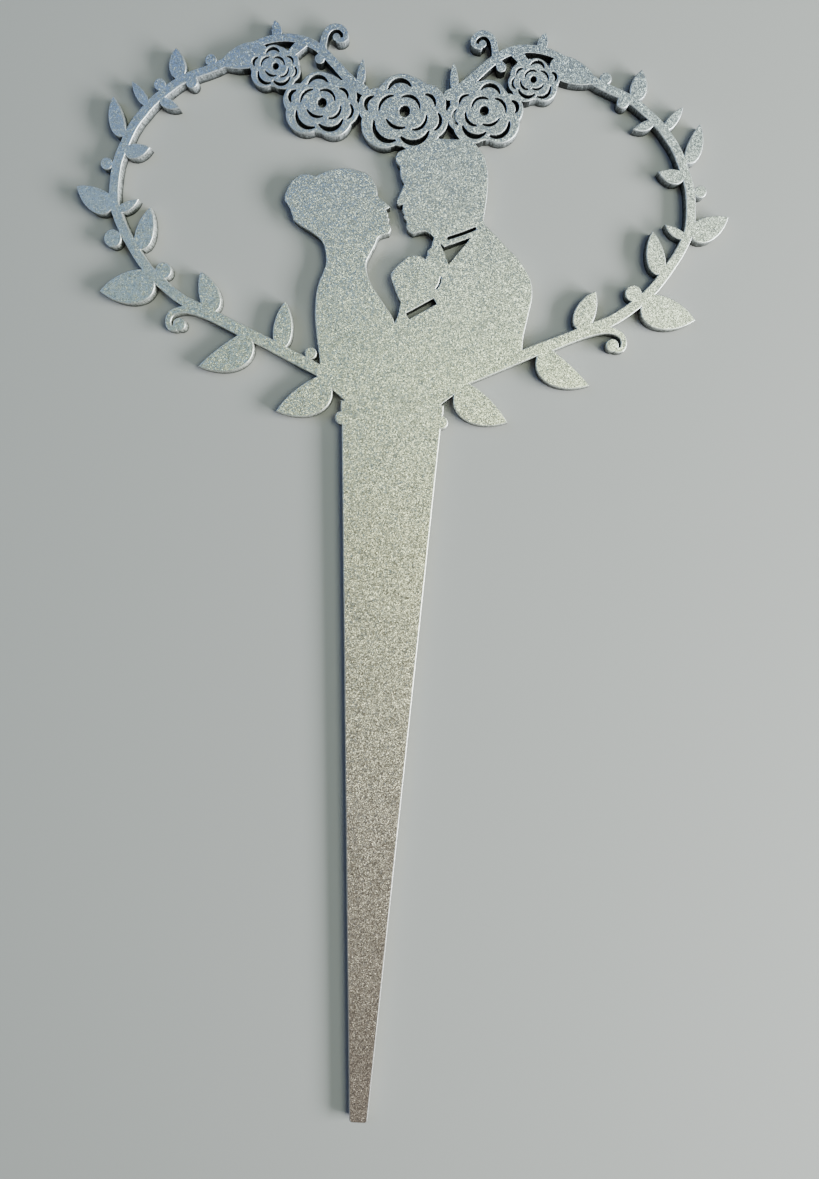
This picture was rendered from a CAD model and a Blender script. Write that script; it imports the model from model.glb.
import math

import bpy
import numpy as np
from mathutils import Euler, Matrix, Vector
from mathutils.geometry import delaunay_2d_cdt


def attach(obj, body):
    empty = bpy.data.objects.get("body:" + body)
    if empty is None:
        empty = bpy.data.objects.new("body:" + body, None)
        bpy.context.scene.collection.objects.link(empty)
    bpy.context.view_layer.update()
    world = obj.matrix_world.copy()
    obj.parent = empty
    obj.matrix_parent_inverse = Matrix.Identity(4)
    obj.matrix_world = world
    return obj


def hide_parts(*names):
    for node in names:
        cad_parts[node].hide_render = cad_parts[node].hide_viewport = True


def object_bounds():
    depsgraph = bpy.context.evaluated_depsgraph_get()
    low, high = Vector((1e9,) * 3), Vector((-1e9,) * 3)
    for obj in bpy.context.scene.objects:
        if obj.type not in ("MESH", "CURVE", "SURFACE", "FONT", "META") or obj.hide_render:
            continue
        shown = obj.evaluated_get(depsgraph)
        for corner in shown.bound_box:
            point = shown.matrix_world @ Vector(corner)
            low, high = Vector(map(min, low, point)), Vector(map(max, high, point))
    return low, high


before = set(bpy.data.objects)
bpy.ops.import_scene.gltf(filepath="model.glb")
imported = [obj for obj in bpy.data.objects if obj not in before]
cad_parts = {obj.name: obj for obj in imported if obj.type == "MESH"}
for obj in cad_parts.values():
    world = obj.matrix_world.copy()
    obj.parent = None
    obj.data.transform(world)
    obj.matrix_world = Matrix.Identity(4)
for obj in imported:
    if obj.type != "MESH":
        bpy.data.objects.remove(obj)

# Heart cake topper, cut from one flat blank and sprayed silver. It lies on its back.
# Every region of the blank gets the rounded paint edges and the flaked paint of the real one.

cad_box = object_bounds()
MM = 0.001
STAKE_TIP = cad_box[0].y
HEART_TOP = cad_box[1].y
FACE_HEIGHT = cad_box[1].z

# Places closer than the first are one, and corners are welded on the second. Distances under
# the third are rounding errors. The fourth is the exactness of the flat faces' triangles.
SAME_PLACE = 0.002 * MM
WELD_GRID = SAME_PLACE / 4
ROUNDING_ERROR = SAME_PLACE ** 2
CUT_EXACTNESS = SAME_PLACE / 1000

# Rounding that the paint leaves on the edges of the front face, which differs by the first word
# of a region's name, and on the edges of the back
FACE_EDGE_RADIUS = 0.24 * MM
OTHER_EDGE_RADII = {"stake": 0.3 * MM, "crown": 0.13 * MM, "rose": 0.28 * MM}
BACK_EDGE_RADIUS = 0.1 * MM
EDGE_STEPS = 3
QUARTER_TURN = math.pi / 2

# At corners and necks: the share of a narrow web that the rounding may take, the longest mitre in
# radii, the sine under which two sides run straight on, and the turn that leaves a corner sharp
NARROW_WEB_SHARE = 0.42
LONGEST_MITRE = 2.2
STRAIGHT_ON = 0.05
SHARP_CORNER = math.radians(38)

# Two walls face each other when the cosine between their headings is under FACING. One is ahead
# of the other when the cosine from straight ahead is over AHEAD, and a slit is narrower than
# SLIT_WIDTH. OPEN_ROOM stands for metal with no wall across from it.
FACING = 0.2
AHEAD = 0.5
SLIT_WIDTH = 2.2 * MM
OPEN_ROOM = 1.0

# Paint in the slits: nooks between leaves are no slits, and in some regions the paint missed
# the lower strips of a slit's rounded edge
REGIONS_WITHOUT_SLITS = "branch"
REGIONS_WITH_BARE_SLITS = ("rose", "groom")
BARE_STEPS = 2

# Skin of paint across one slit: how much of the slit's height stays open at each end, and the
# depths of its top and underside below the face
WEB_OPEN_SHARE = 0.14
WEB_DEPTHS = (0.22 * MM, 0.7 * MM)

# Spray coat along the topper, from the stake's tip to the heart's top
COAT_STOPS = [
    (0.00, (0.545, 0.458, 0.405)),
    (0.30, (0.615, 0.535, 0.450)),
    (0.55, (0.692, 0.652, 0.468)),
    (0.72, (0.750, 0.780, 0.590)),
    (0.86, (0.640, 0.680, 0.650)),
    (1.00, (0.530, 0.605, 0.730)),
]

# Greyer paint of the edges and cut walls, and its share in the coat's colour there
EDGE_GREY = (0.76, 0.79, 0.83, 1)
EDGE_GREY_SHARE = 0.6

# How high a wall is coated, as shares of the blank's thickness: the spray has run out below the
# first and is full above the second
CUT_WALL_COAT = (0.1, 0.8)
SLIT_WALL_COAT = (0.92, 1.0)

# Places of the four paints in the list that every region gets
FACE, CUT_WALL, EDGE_BEAD, SLIT_WALL = range(4)


class Reading:
    """A value on its way through a material, so that a recipe can be written as sums."""

    def __init__(self, recipe, socket):
        self.recipe = recipe
        self.socket = socket

    def combined(self, operation, first, second):
        return self.recipe.node("ShaderNodeMath", {"operation": operation}, {0: first, 1: second})[0]

    def __add__(self, other):
        return self.combined("ADD", self, other)

    def __radd__(self, other):
        return self.combined("ADD", other, self)

    def __sub__(self, other):
        return self.combined("SUBTRACT", self, other)

    def __rsub__(self, other):
        return self.combined("SUBTRACT", other, self)

    def __mul__(self, other):
        return self.combined("MULTIPLY", self, other)

    def __rmul__(self, other):
        return self.combined("MULTIPLY", other, self)


class Recipe:
    """One paint: a material whose nodes are made by name, with their settings and values."""

    def __init__(self, name):
        self.material = bpy.data.materials.new(name)
        self.material.use_nodes = True
        self.tree = self.material.node_tree
        self.tree.nodes.clear()

    def node(self, kind, settings=None, values=None):
        made = self.tree.nodes.new(kind)
        for setting, value in (settings or {}).items():
            if setting == "stops":
                self.set_stops(made.color_ramp, value)
            else:
                setattr(made, setting, value)
        for socket, value in (values or {}).items():
            if isinstance(value, Reading):
                self.tree.links.new(value.socket, made.inputs[socket])
            else:
                made.inputs[socket].default_value = value
        shown = [output for output in made.outputs if output.enabled]
        return [Reading(self, output) for output in shown]

    def set_stops(self, ramp, stops):
        while len(ramp.elements) < len(stops):
            ramp.elements.new(1)
        for element, (position, colour) in zip(ramp.elements, stops):
            element.position = position
            element.color = (*colour, 1)

    def spread(self, value, low, high, new_low, new_high):
        """value, carried evenly from one range to another and held inside it."""
        ends = {"From Min": low, "From Max": high, "To Min": new_low, "To Max": new_high}
        return self.node("ShaderNodeMapRange", {"clamp": True}, {"Value": value, **ends})[0]

    def vector(self, operation, *operands):
        return self.node("ShaderNodeVectorMath", {"operation": operation}, dict(enumerate(operands)))[0]

    def tinted(self, colour, factor):
        """colour made lighter or darker by a factor."""
        values = {"Vector": colour, "Scale": factor}
        return self.node("ShaderNodeVectorMath", {"operation": "SCALE"}, values)[0]

    def blend(self, share, first, second):
        """first with a share of second in it. Sockets 6 and 7 take the node's two colours."""
        settings = {"data_type": "RGBA", "blend_type": "MIX"}
        return self.node("ShaderNodeMix", settings, {0: share, 6: first, 7: second})[0]

    def parts(self, vector):
        """The three numbers of a vector or a colour."""
        return self.node("ShaderNodeSeparateXYZ", None, {"Vector": vector})

    def bumps(self, strength, depth, height):
        values = {"Strength": strength, "Distance": depth, "Height": height}
        return self.node("ShaderNodeBump", None, values)[0]

    def finish(self, values):
        shader = self.node("ShaderNodeBsdfPrincipled", None, values)[0]
        self.node("ShaderNodeOutputMaterial", None, {"Surface": shader})
        return self.material


def flakes(recipe, place, size):
    """Aluminium flakes of the paint: a random colour for each, read as three numbers."""
    settings = {"voronoi_dimensions": "3D", "feature": "F1"}
    values = {"Vector": place, "Scale": 1 / size}
    _, colour, *_ = recipe.node("ShaderNodeTexVoronoi", settings, values)
    return colour


def grain(recipe, place, size, detail):
    values = {"Vector": place, "Scale": 1 / size, "Detail": detail}
    return recipe.node("ShaderNodeTexNoise", {"noise_dimensions": "3D"}, values)[0]


def coat_colour(recipe, place):
    _, along, _ = recipe.parts(place)
    share = recipe.spread(along, STAKE_TIP, HEART_TOP, 0, 1)
    return recipe.node("ShaderNodeValToRGB", {"stops": COAT_STOPS}, {"Fac": share})[0]


def edge_colour(recipe, place, light):
    return recipe.tinted(recipe.blend(EDGE_GREY_SHARE, coat_colour(recipe, place), EDGE_GREY), light)


def face_paint():
    """Silver flake paint of the flat faces: fine sparkle on a slightly cloudy coat."""
    flake_size = 0.17 * MM
    dapple_size = 0.26 * MM
    cloud_size = 9 * MM
    detail = 2
    base_light = 0.48
    flake_light = 0.52
    dapple_light = 0.22
    cloud_light = 0.12
    glint_from = 0.84
    glint_light = 0.5
    middle = (0.5, 0.5, 0.5)
    lean_share = 0.46
    smoothest = 0.38
    dapple_roughness = 0.12

    recipe = Recipe("silver_flake_paint")
    _, _, _, place, *_ = recipe.node("ShaderNodeTexCoord")
    _, outward, *_ = recipe.node("ShaderNodeNewGeometry")
    flake = flakes(recipe, place, flake_size)
    red, green, _ = recipe.parts(flake)
    cloud = grain(recipe, place, cloud_size, detail)
    dapple = grain(recipe, place, dapple_size, detail)
    glint = recipe.spread(red, glint_from, 1, 0, glint_light)
    light = base_light + flake_light * green + dapple_light * dapple + cloud_light * cloud + glint
    lean = recipe.tinted(recipe.vector("SUBTRACT", flake, middle), lean_share)
    return recipe.finish({
        "Base Color": recipe.tinted(coat_colour(recipe, place), light),
        "Metallic": 1.0,
        "Roughness": smoothest + dapple_roughness * dapple,
        "Normal": recipe.vector("NORMALIZE", recipe.vector("ADD", outward, lean)),
    })


def wall_paint(name, coat):
    """Rough paint of the cut walls: spray caught on the grain of the cut, in nodules and pits.

    coat says how high the spray reaches. The can was held at the right, so walls that face
    right took the most paint."""
    flake_size = 0.3 * MM
    nodule_size = 0.4 * MM
    nodule_detail = 3
    streak_size = 0.34 * MM
    streak_detail = 2
    streak_stretch = (1, 1, 0.12)
    streak_from = 0.36
    streak_to = 0.64
    nodule_light = 0.6
    flake_light = 0.5
    streak_light = 0.55
    glint_from = 0.7
    glint_light = 0.5
    pit_shade = 0.15
    coat_below = 0.1
    coat_above = 1.1
    fully_right = 0.75
    coat_away = 0.42
    coat_right = 1.2
    bump_strength = 1.0
    bump_depth = 0.14 * MM
    streak_height = 0.5
    metal_share = 0.7
    smoothest = 0.42
    nodule_roughness = 0.2

    recipe = Recipe(name)
    _, outward, _, place, *_ = recipe.node("ShaderNodeTexCoord")
    rightward, _, _ = recipe.parts(outward)
    _, _, height = recipe.parts(place)
    red, green, _ = recipe.parts(flakes(recipe, place, flake_size))
    glint = recipe.spread(green, glint_from, 1, 0, glint_light)
    nodules = grain(recipe, place, nodule_size, nodule_detail)
    stretched = recipe.vector("MULTIPLY", place, streak_stretch)
    streaks = grain(recipe, stretched, streak_size, streak_detail)
    streaks = recipe.spread(streaks, streak_from, streak_to, 0, 1)
    runs_out, full = [share * FACE_HEIGHT for share in coat]
    thickness = recipe.spread(height, runs_out, full, coat_below, coat_above)
    sprayed = recipe.spread(rightward, 0, fully_right, coat_away, coat_right)
    body = nodule_light * nodules + flake_light * red + streak_light * streaks + glint - pit_shade
    return recipe.finish({
        "Base Color": edge_colour(recipe, place, body * thickness * sprayed),
        "Metallic": metal_share,
        "Roughness": smoothest + nodule_roughness * nodules,
        "Normal": recipe.bumps(bump_strength, bump_depth, nodules + streak_height * streaks),
    })


def edge_bead_paint():
    """Paint drawn up into a smooth bright bead along the edges of the face."""
    flake_size = 0.22 * MM
    nodule_size = 0.4 * MM
    nodule_detail = 3
    base_light = 0.8
    nodule_light = 0.3
    flake_light = 0.3
    bump_strength = 0.8
    bump_depth = 0.07 * MM
    smoothest = 0.4
    nodule_roughness = 0.12

    recipe = Recipe("silver_edge_bead")
    _, _, _, place, *_ = recipe.node("ShaderNodeTexCoord")
    _, green, _ = recipe.parts(flakes(recipe, place, flake_size))
    nodules = grain(recipe, place, nodule_size, nodule_detail)
    light = base_light + nodule_light * nodules + flake_light * green
    return recipe.finish({
        "Base Color": edge_colour(recipe, place, light),
        "Metallic": 1.0,
        "Roughness": smoothest + nodule_roughness * nodules,
        "Normal": recipe.bumps(bump_strength, bump_depth, nodules),
    })


def outline_loops(node):
    """Closed outlines of a region's front face, with its metal on the left of their way."""
    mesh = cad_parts[node].data
    key_of = {}
    keys = []
    for vertex in mesh.vertices:
        spot = tuple(round(value / WELD_GRID) for value in vertex.co)
        keys.append(key_of.setdefault(spot, len(key_of)))
    points = {keys[vertex.index]: vertex.co.xy.to_tuple() for vertex in mesh.vertices}
    sides = set()
    for face in mesh.polygons:
        if min(mesh.vertices[index].co.z for index in face.vertices) > FACE_HEIGHT - SAME_PLACE:
            corners = [keys[index] for index in face.vertices]
            sides.update(zip(corners, corners[1:] + corners[:1]))
    follow = {start: end for start, end in sides if (end, start) not in sides}
    loops = []
    while follow:
        start, here = follow.popitem()
        loop = [start]
        while here != start:
            loop.append(here)
            here = follow.pop(here)
        loops.append(np.array([points[key] for key in loop]))
    return loops


class Walls:
    """The straight sides of some outlines, to measure them all from one spot."""

    def __init__(self, loops):
        self.starts = np.concatenate(loops)
        self.ways = np.concatenate([np.roll(loop, -1, 0) for loop in loops]) - self.starts
        self.lengths_squared = (self.ways ** 2).sum(1)
        self.headings = self.ways / np.sqrt(self.lengths_squared)[:, None]

    def seen_from(self, spot):
        """The way from a spot to the nearest place on each side, and its length."""
        shares = ((spot - self.starts) * self.ways).sum(1) / self.lengths_squared
        gaps = self.starts + self.ways * np.clip(shares, 0, 1)[:, None] - spot
        return gaps, np.linalg.norm(gaps, axis=1)


class Outline:
    """One loop of a region: its points, which sides are joints or slits, and its ways inward."""

    def __init__(self, loop, own, others, everything):
        self.points = loop
        ways = np.roll(loop, -1, 0) - loop
        self.ways = ways / np.linalg.norm(ways, axis=1)[:, None]
        self.inward = np.stack([-self.ways[:, 1], self.ways[:, 0]], 1)
        self.middles = (loop + np.roll(loop, -1, 0)) / 2
        self.joint = self.find_joints(others)
        self.room = self.find_room(own)
        self.slit = self.find_slits(everything)

    def find_joints(self, others):
        """Which sides touch a neighbouring region."""
        return np.array([others.seen_from(middle)[1].min() < SAME_PLACE for middle in self.middles])

    def find_room(self, own):
        """How wide the metal is at each point, seen square to the outline."""
        rooms = []
        for point, inward, way in zip(self.points, self.inward + np.roll(self.inward, 1, 0), self.ways):
            gaps, distances = own.seen_from(point)
            across = (gaps @ inward > ROUNDING_ERROR) & (own.headings @ way < FACING)
            rooms.append(distances[across].min() if across.any() else OPEN_ROOM)
        return np.array(rooms)

    def find_slits(self, everything):
        """Which sides look across a narrow opening onto another wall."""
        found = []
        for middle, inward, way in zip(self.middles, self.inward, self.ways):
            gaps, distances = everything.seen_from(middle)
            ahead = (gaps @ -inward > AHEAD * distances) & (distances > SAME_PLACE)
            across = ahead & (everything.headings @ way < FACING)
            found.append(across.any() and distances[across].min() < SLIT_WIDTH)
        return np.array(found)

    def inset(self, radius):
        """For each point, its rounding radius and its way inward for a radius of one."""
        reach = np.where(self.joint, 0.0, 1.0)
        radii = np.minimum(radius, NARROW_WEB_SHARE * self.room)
        shifts = []
        for i in range(len(self.points)):
            first, second = self.inward[i - 1], self.inward[i]
            matrix = np.array([first, second])
            if abs(np.linalg.det(matrix)) < STRAIGHT_ON:
                shift = (first + second) / 2 * min(reach[i - 1], reach[i])
            else:
                shift = np.linalg.solve(matrix, np.array([reach[i - 1], reach[i]]))
            length = np.linalg.norm(shift)
            shifts.append(shift * min(1.0, LONGEST_MITRE / length) if length > 0 else shift)
        both_joint = self.joint & np.roll(self.joint, 1)
        return np.where(both_joint, radius, radii), np.array(shifts)

    def edge_rings(self, radius):
        """Rings of points up the wall, from the back face to the front, with their slopes."""
        front, shifts = self.inset(radius)
        back = np.minimum(front, BACK_EDGE_RADIUS)
        rings = []
        for step in range(EDGE_STEPS + 1):
            slope = QUARTER_TURN * (1 - step / EDGE_STEPS)
            flat = self.points + shifts * (back * (1 - math.cos(slope)))[:, None]
            rings.append((flat, back * (1 - math.sin(slope)), -slope))
        for step in range(EDGE_STEPS + 1):
            slope = QUARTER_TURN * step / EDGE_STEPS
            flat = self.points + shifts * (front * (1 - math.cos(slope)))[:, None]
            rings.append((flat, FACE_HEIGHT - front * (1 - math.sin(slope)), slope))
        return rings

    def side_normals(self):
        """Level outward normals at the two ends of each side, softened round blunt corners."""
        outward = -self.inward
        before = np.roll(outward, 1, 0)
        softened = outward + before
        softened /= np.linalg.norm(softened, axis=1)[:, None]
        blunt = ((outward * before).sum(1) > math.cos(SHARP_CORNER))[:, None]
        here = np.where(blunt, softened, outward)
        there = np.where(np.roll(blunt, -1, 0), np.roll(softened, -1, 0), outward)
        return here, there


def is_inside(spot, starts, ends):
    """Whether a spot lies on the metal: a ray from it crosses the outlines an odd number of times."""
    x, y = spot
    spans = (starts[:, 1] > y) != (ends[:, 1] > y)
    low, high = starts[spans], ends[spans]
    crossings = low[:, 0] + (y - low[:, 1]) * (high[:, 0] - low[:, 0]) / (high[:, 1] - low[:, 1])
    return (crossings > x).sum() % 2 == 1


def flat_face(points, rings, height):
    """Triangles that fill the outer ring of a region and leave its openings free."""
    order = [index for ring in rings for index in ring]
    spots = [Vector(points[index][:2]) for index in order]
    sides = []
    for ring in rings:
        first = len(sides)
        sides += [(first + i, first + (i + 1) % len(ring)) for i in range(len(ring))]
    made, _, triangles, sources, _, _ = delaunay_2d_cdt(spots, sides, [], 0, CUT_EXACTNESS)
    places = []
    for spot, source in zip(made, sources):
        places.append(order[source[0]] if source else len(points))
        if not source:
            points.append((*spot, height))
    starts = np.array([spots[start] for start, _ in sides])
    ends = np.array([spots[end] for _, end in sides])
    corners = np.array(made)
    return [
        tuple(places[index] for index in triangle) for triangle in triangles
        if is_inside(corners[list(triangle)].mean(0), starts, ends)
    ]


class Skin:
    """The sprayed surface of one region, gathered wall by wall and face by face."""

    def __init__(self, node):
        self.node = node
        self.points, self.faces, self.normals, self.paints = [], [], [], []
        self.back_rings, self.front_rings = [], []

    def strip_paint(self, strip, in_slit):
        """The paint of one strip of a wall, of which the strips are counted up from the back."""
        in_slit = in_slit and not self.node.startswith(REGIONS_WITHOUT_SLITS)
        bare = in_slit and self.node.startswith(REGIONS_WITH_BARE_SLITS)
        if strip > EDGE_STEPS + (BARE_STEPS if bare else 0):
            return EDGE_BEAD
        return SLIT_WALL if in_slit else CUT_WALL

    def add_wall(self, outline, rings):
        count = len(outline.points)
        base = len(self.points)
        for flat, heights, _ in rings:
            self.points += [(x, y, height) for (x, y), height in zip(flat, heights)]
        top = base + (len(rings) - 1) * count
        self.back_rings.append(list(range(base, base + count)))
        self.front_rings.append(list(range(top, top + count)))
        for i, (here, there) in enumerate(zip(*outline.side_normals())):
            j = (i + 1) % count
            for strip in range(len(rings) - 1):
                low, high = base + strip * count, base + (strip + 1) * count
                self.faces.append((low + i, low + j, high + j, high + i))
                self.paints.append(self.strip_paint(strip, outline.slit[i]))
                corners = ((here, strip), (there, strip), (there, strip + 1), (here, strip + 1))
                for normal, ring in corners:
                    slope = rings[ring][2]
                    self.normals.append((*(normal * math.cos(slope)), math.sin(slope)))

    def add_flat_face(self, rings, height, up):
        for corners in flat_face(self.points, rings, height):
            self.faces.append(corners if up > 0 else corners[::-1])
            self.paints.append(FACE)
            self.normals += [(0, 0, up)] * len(corners)

    def to_mesh(self, paints):
        mesh = bpy.data.meshes.new(f"sprayed_{self.node}")
        mesh.from_pydata(self.points, [], self.faces)
        for paint in paints:
            mesh.materials.append(paint)
        mesh.polygons.foreach_set("material_index", self.paints)
        mesh.polygons.foreach_set("use_smooth", [True] * len(self.faces))
        mesh.normals_split_custom_set(self.normals)
        return mesh


def add_piece(mesh):
    piece = bpy.data.objects.new(mesh.name, mesh)
    bpy.context.scene.collection.objects.link(piece)
    return piece


def sprayed_region(node, loops, paints):
    """A region of the blank with rounded edges, flat faces and rough cut walls."""
    own_loops = loops[node]
    other_loops = [loop for other in loops if other != node for loop in loops[other]]
    surroundings = Walls(own_loops), Walls(other_loops), Walls(own_loops + other_loops)
    radius = OTHER_EDGE_RADII.get(node.split("_")[0], FACE_EDGE_RADIUS)
    skin = Skin(node)
    for loop in own_loops:
        outline = Outline(loop, *surroundings)
        skin.add_wall(outline, outline.edge_rings(radius))
    skin.add_flat_face(skin.back_rings, 0.0, -1)
    skin.add_flat_face(skin.front_rings, FACE_HEIGHT, 1)
    piece = add_piece(skin.to_mesh(paints))
    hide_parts(node)
    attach(piece, "root")


def paint_web(slit, paint):
    """A rough skin of paint that bridges the middle of one slit, a little below the face."""
    low, high = slit[:, 1].min(), slit[:, 1].max()
    left_open = WEB_OPEN_SHARE * (high - low)
    ring = [tuple(spot) for spot in slit[::-1] if low + left_open < spot[1] < high - left_open]
    count = len(ring)
    points = [(x, y, FACE_HEIGHT - depth) for depth in WEB_DEPTHS for x, y in ring]
    top, underside = [
        flat_face(points, [list(range(level * count, (level + 1) * count))], FACE_HEIGHT - depth)
        for level, depth in enumerate(WEB_DEPTHS)
    ]
    sides = [(count + i, count + (i + 1) % count, (i + 1) % count, i) for i in range(count)]
    mesh = bpy.data.meshes.new("paint_web")
    mesh.from_pydata(points, [], top + [corners[::-1] for corners in underside] + sides)
    mesh.materials.append(paint)
    piece = add_piece(mesh)
    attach(piece, "root")


def make_topper():
    paints = [
        face_paint(),
        wall_paint("silver_cut_edge", CUT_WALL_COAT),
        edge_bead_paint(),
        wall_paint("silver_slit_wall", SLIT_WALL_COAT),
    ]
    loops = {node: outline_loops(node) for node in sorted(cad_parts)}
    for node in loops:
        sprayed_region(node, loops, paints)
    bridged_slit = min(loops["rose_large_right"], key=lambda loop: loop[:, 0].mean())
    paint_web(bridged_slit, paints[CUT_WALL])


# Studio: a plain pale table top in a dim room, with sizes and places in metres
TABLE_HALF = 6
TABLE_COLOUR = (0.38, 0.38, 0.38, 1)
TABLE_ROUGHNESS = 0.85
ROOM_COLOUR = (0.82, 0.85, 0.90, 1)
ROOM_LIGHT = 0.10

# Four soft lights: a broad window low at the right, a ceiling light over the right, a bluish
# glow from the far left and a faint warm one from the near side
LIGHTS = {
    "window_light": {
        "place": (0.69, -0.17, 0.29), "aim": (0, -0.03, 0),
        "width": 0.5, "height": 0.22, "watts": 15.0, "colour": (0.96, 1.0, 0.98),
    },
    "ceiling_light": {
        "place": (0.44, 0.05, 0.80), "aim": (0.02, 0, 0),
        "width": 0.46, "height": 0.46, "watts": 5.4, "colour": (0.88, 1.0, 0.78),
    },
    "far_corner_light": {
        "place": (-0.60, 0.30, 0.78), "aim": (0, 0, 0),
        "width": 0.7, "height": 0.4, "watts": 2.0, "colour": (0.29, 0.54, 1.0),
    },
    "room_light": {
        "place": (0.05, -0.70, 0.75), "aim": (0, -0.1, 0),
        "width": 0.8, "height": 0.4, "watts": 0.25, "colour": (1.0, 0.76, 0.56),
    },
}


def make_table_top():
    mesh = bpy.data.meshes.new("table_top")
    corners = [(x * TABLE_HALF, y * TABLE_HALF, 0) for x, y in ((-1, -1), (1, -1), (1, 1), (-1, 1))]
    mesh.from_pydata(corners, [], [(0, 1, 2, 3)])
    recipe = Recipe("pale_table")
    mesh.materials.append(recipe.finish({"Base Color": TABLE_COLOUR, "Roughness": TABLE_ROUGHNESS}))
    table = add_piece(mesh)


def make_light(name, place, aim, width, height, watts, colour):
    lamp = bpy.data.lights.new(name, "AREA")
    lamp.shape = "RECTANGLE"
    lamp.size = width
    lamp.size_y = height
    lamp.energy = watts
    lamp.color = colour
    light = bpy.data.objects.new(name, lamp)
    light.location = place
    light.rotation_euler = (Vector(aim) - Vector(place)).to_track_quat("-Z", "Y").to_euler()
    bpy.context.scene.collection.objects.link(light)


def make_room_light():
    world = bpy.data.worlds.new("studio")
    world.use_nodes = True
    background = world.node_tree.nodes["Background"]
    background.inputs["Color"].default_value = ROOM_COLOUR
    background.inputs["Strength"].default_value = ROOM_LIGHT
    bpy.context.scene.world = world


def make_studio():
    make_table_top()
    for name, light in LIGHTS.items():
        make_light(name, **light)
    make_room_light()


# Camera above the topper, nearly square to it, as the photograph was taken. Its turn is in
# degrees, and the lens and its sensor are in millimetres.
CAMERA_PLACE = (7.56 * MM, -25.09 * MM, 205.37 * MM)
CAMERA_TURN = (-5.227, 0.639, 2.867)
CAMERA_LENS = 25.954
CAMERA_SENSOR = 36
NEAREST_SEEN = 10 * MM


def make_camera():
    lens = bpy.data.cameras.new("photo_camera")
    lens.lens = CAMERA_LENS
    lens.sensor_width = CAMERA_SENSOR
    lens.clip_start = NEAREST_SEEN
    camera = bpy.data.objects.new("photo_camera", lens)
    camera.location = CAMERA_PLACE
    camera.rotation_euler = Euler([math.radians(turn) for turn in CAMERA_TURN])
    bpy.context.scene.collection.objects.link(camera)
    bpy.context.scene.camera = camera


make_topper()
make_studio()
make_camera()
